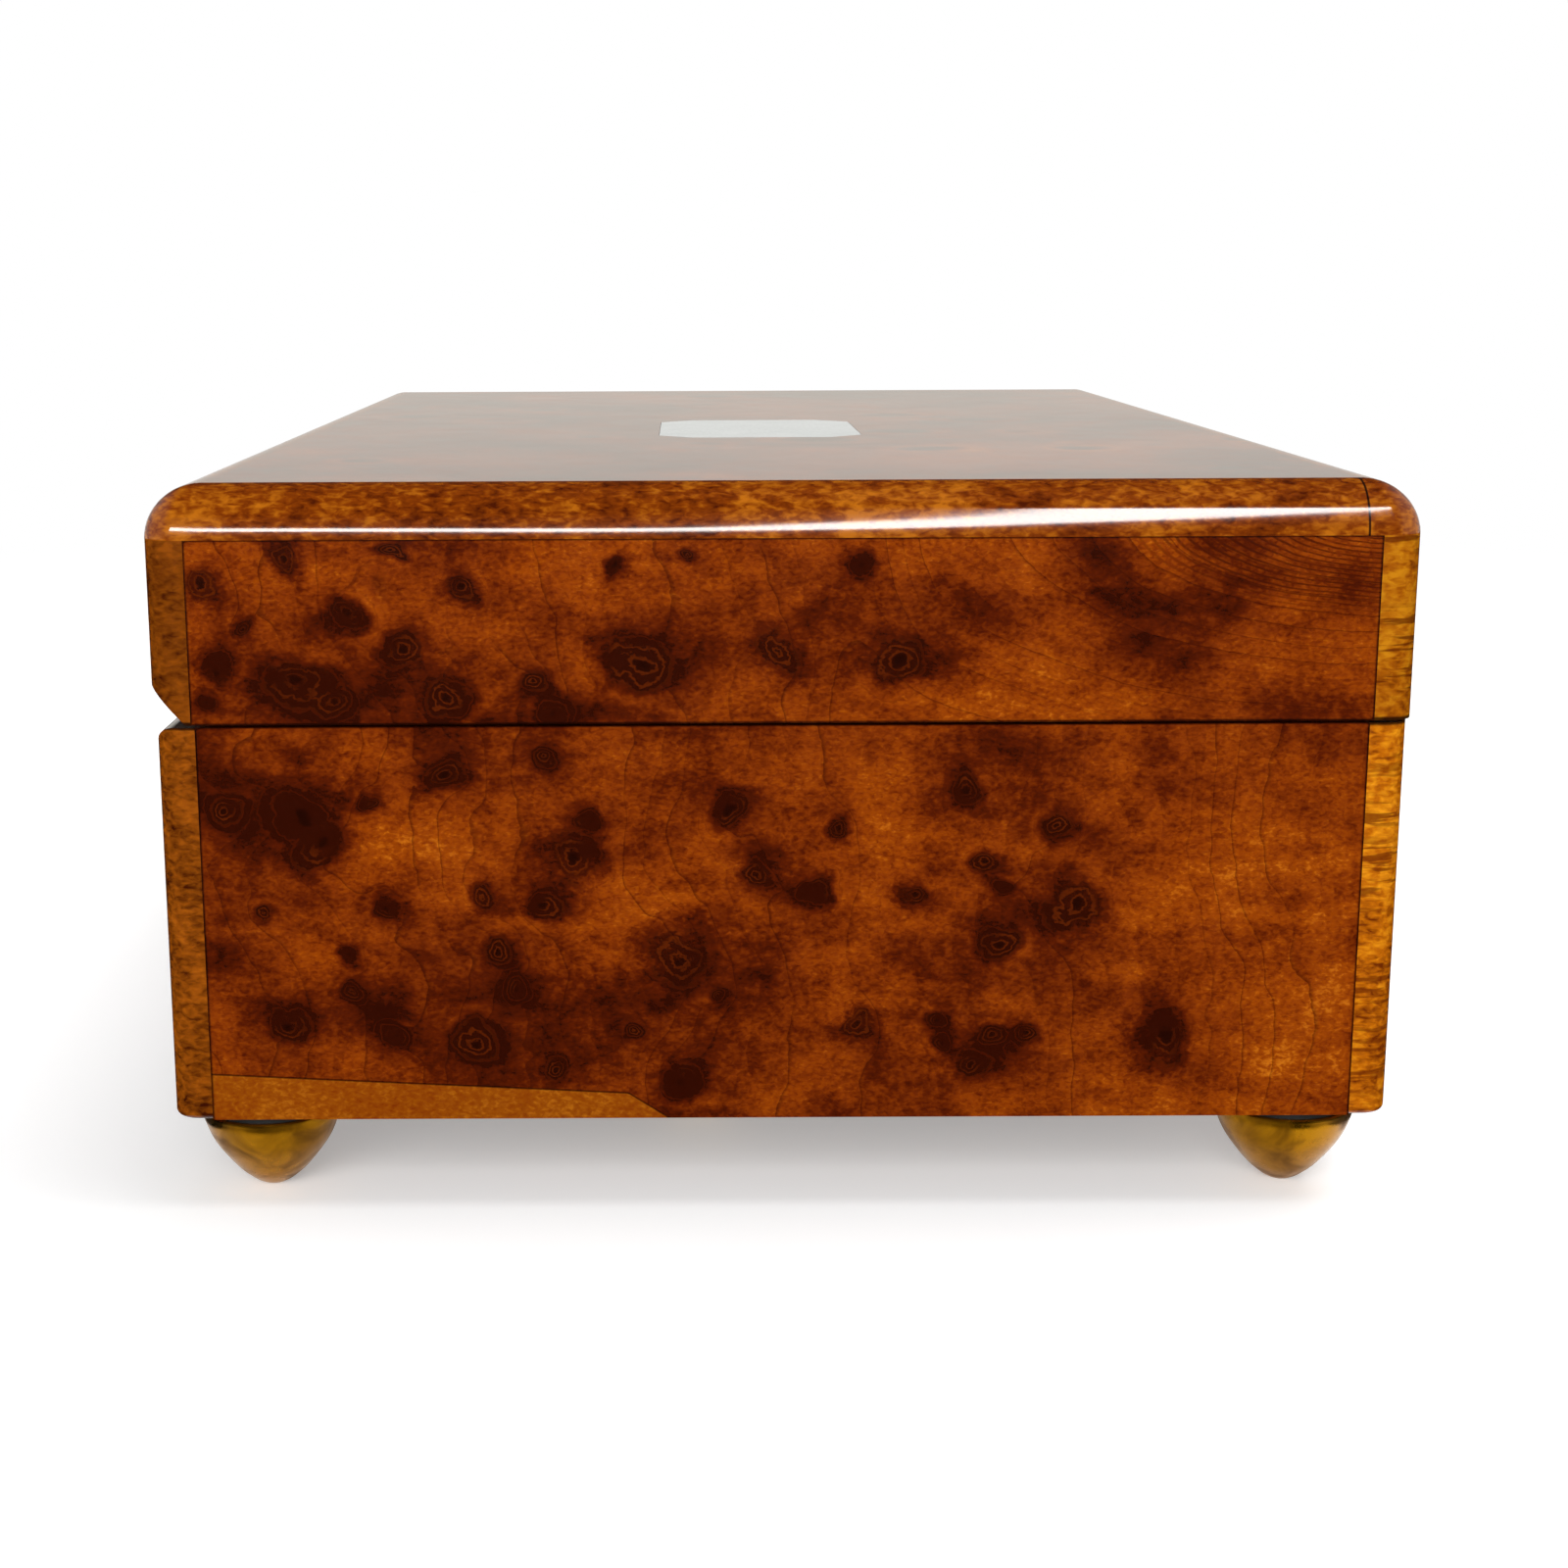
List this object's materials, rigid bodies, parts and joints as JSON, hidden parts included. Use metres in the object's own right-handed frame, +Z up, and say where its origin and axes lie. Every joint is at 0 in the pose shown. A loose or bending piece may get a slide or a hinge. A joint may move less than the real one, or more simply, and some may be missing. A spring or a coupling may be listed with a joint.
{
  "type": "music box",
  "caption": "Antique wind-up music box in glossy burl veneer with a hinged lid, pale edge strips, bullet brass feet, a comb movement under glass and a lined tray.",
  "frame": {"origin": "centre of the footprint on the floor that the four feet stand on", "axes": "+X along the case towards the tray, +Y from the front to the hinges, +Z up"},
  "size_m": [0.1846, 0.1206, 0.0716],
  "materials": {
    "burl_veneer": "gloss",
    "veneer_strips": "gloss",
    "pine_carcass": "satin",
    "velvet": "matte",
    "brass_parts": "polished",
    "bright_steel": "polished",
    "cast_base": "matte",
    "black_washer": "matte",
    "glass_cover": "gloss",
    "pale_inlay": "gloss"
  },
  "bodies": {
    "case": {"case_front_panel": "burl_veneer", "case_back_panel": "burl_veneer", "case_left_end": "burl_veneer", "case_right_end": "burl_veneer", "case_corner_strips": "veneer_strips", "bottom_board": "pine_carcass", "compartment_divider": "pine_carcass", "tray_floor_pad": "velvet", "tray_wall_lining": "velvet", "foot_front_left": "brass_parts", "foot_front_right": "brass_parts", "foot_back_left": "brass_parts", "foot_back_right": "brass_parts", "foot_washers": "black_washer", "hinge_case_leaves": "brass_parts", "hinge_pins": "brass_parts", "hinge_case_screws": "brass_parts", "glass_frame": "pine_carcass", "glass_pane": "glass_cover", "bedplate": "brass_parts", "movement_screws": "bright_steel", "left_bracket": "brass_parts", "right_bracket": "brass_parts", "comb": "bright_steel", "comb_base": "cast_base", "comb_screws": "bright_steel", "barrel_bridge": "brass_parts", "governor_cock": "brass_parts", "plate_screws": "bright_steel"},
    "lid": {"lid_front_panel": "burl_veneer", "lid_back_panel": "burl_veneer", "lid_left_end": "burl_veneer", "lid_right_end": "burl_veneer", "lid_corner_strips": "veneer_strips", "lid_front_lipping": "veneer_strips", "lid_back_lipping": "veneer_strips", "lid_left_lipping": "veneer_strips", "lid_right_lipping": "veneer_strips", "lid_top_panel": "burl_veneer", "lid_inlay": "pale_inlay", "lid_lining": "velvet", "hinge_lid_leaves": "brass_parts", "hinge_lid_screws": "brass_parts"},
    "cylinder": {"music_cylinder": "brass_parts", "cylinder_arbor": "bright_steel", "drive_pinion": "bright_steel", "governor_wheel": "brass_parts"},
    "barrel": {"spring_barrel": "brass_parts", "barrel_cover": "brass_parts", "mainspring": "bright_steel"},
    "second_shaft": {"second_arbor": "bright_steel", "worm_wheel": "brass_parts"},
    "fly": {"fly_arbor": "bright_steel", "fly_blades": "brass_parts"},
    "winder": {"winding_arbor": "bright_steel", "ratchet_wheel": "bright_steel", "winding_key": "brass_parts"},
    "click_body": {"click": "bright_steel"},
    "stop": {"stop_wire": "bright_steel"}
  },
  "joints": [
    {"name": "lid_hinge", "type": "hinge", "parent": "case", "child": "lid", "pos_m": [0, 0.058, 0.0492], "axis": [-1, 0, 0], "range_deg": [0, 98]},
    {"name": "cylinder_spin", "type": "hinge", "parent": "case", "child": "cylinder", "pos_m": [-0.029, 0.008, 0.0334], "axis": [1, 0, 0], "continuous": true},
    {"name": "barrel_spin", "type": "hinge", "parent": "case", "child": "barrel", "pos_m": [-0.0665, 0.008, 0.024], "axis": [0, 0, 1], "continuous": true},
    {"name": "second_spin", "type": "hinge", "parent": "case", "child": "second_shaft", "pos_m": [-0.0038, 0.01839, 0.0274], "axis": [1, 0, 0], "continuous": true},
    {"name": "fly_spin", "type": "hinge", "parent": "case", "child": "fly", "pos_m": [-0.0038, 0.02474, 0.03], "axis": [0, 0, 1], "continuous": true},
    {"name": "winding_spin", "type": "hinge", "parent": "case", "child": "winder", "pos_m": [-0.0665, 0.008, 0.02], "axis": [0, 0, 1], "continuous": true},
    {"name": "click_pivot", "type": "hinge", "parent": "case", "child": "click_body", "pos_m": [-0.065, 0.019, 0.0343], "axis": [0, 0, -1], "range_deg": [0, 10]},
    {"name": "stop_slide", "type": "slide", "parent": "case", "child": "stop", "axis": [0, 0, 1], "range_m": [0, 0.002]}
  ],
  "couplings": [
    {"joint": "barrel_spin", "follows": "cylinder_spin", "ratio": 0.27778},
    {"joint": "second_spin", "follows": "cylinder_spin", "ratio": -4},
    {"joint": "fly_spin", "follows": "cylinder_spin", "ratio": 96},
    {"joint": "stop_slide", "follows": "lid_hinge", "m_per_rad": 0.0011693}
  ]
}
